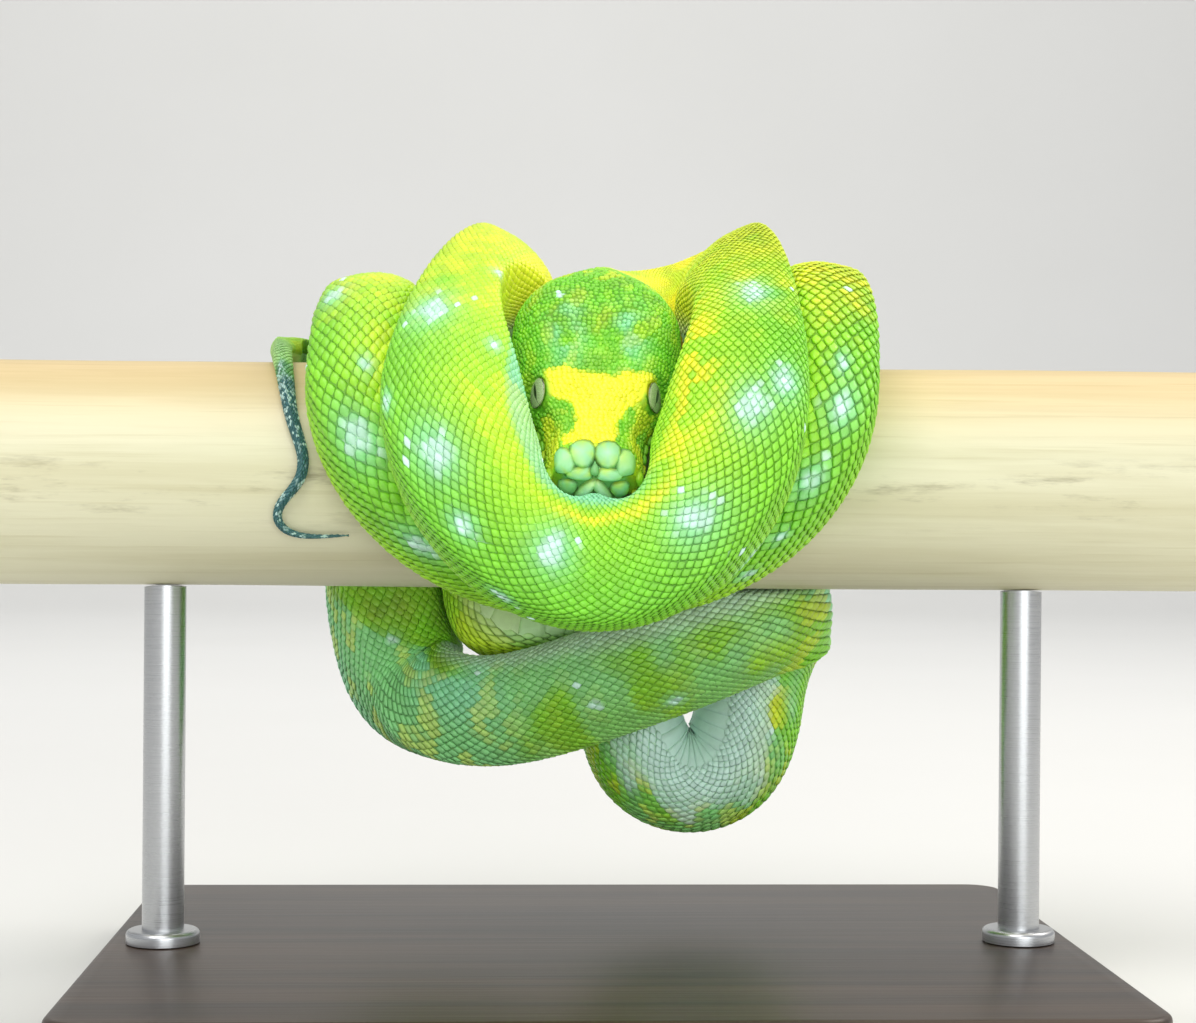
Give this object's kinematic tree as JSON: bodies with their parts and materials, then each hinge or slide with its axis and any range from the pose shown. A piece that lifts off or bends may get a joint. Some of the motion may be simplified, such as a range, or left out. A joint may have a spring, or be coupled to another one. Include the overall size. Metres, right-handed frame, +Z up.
{
  "type": "coiled green tree python",
  "caption": "Adult green tree python coiled over a round wooden perch, head resting in the middle of its loops and tail hooked to one side, on a plain rod display stand.",
  "frame": {"origin": "middle of the underside of the stand's base, on the floor", "axes": "+Z up, +X along the perch toward the viewer's right, -Y the front that the head faces"},
  "size_m": [0.3, 0.176, 0.1867],
  "materials": {
    "skin": "satin smooth scales, lime green with yellow and pale blue flecks",
    "tail_skin": "fine satin scales, blue-black with pale flecks",
    "eye": "wet gloss, tan-grey iris and upright slit pupil",
    "perch_wood": "smooth turned pine with fine grain",
    "stand_board": "dark stained board, satin",
    "stand_steel": "brushed"
  },
  "bodies": {
    "root": {"head": "skin", "lower_jaw": "skin", "eye_left": "eye", "eye_right": "eye", "neck": "skin", "inner_loop_right": "skin", "inner_loop_left": "skin", "back_loop_left": "skin", "back_loop_right": "skin", "outer_loop_right": "skin", "outer_loop_left": "skin", "back_drop": "skin", "low_loop": "skin", "low_bend": "skin", "back_rise": "skin", "tail_base": "tail_skin", "tail_tip": "tail_skin", "perch": "perch_wood", "stand_base": "stand_board", "stand_rod_left": "stand_steel", "stand_rod_right": "stand_steel"}
  },
  "joints": []
}
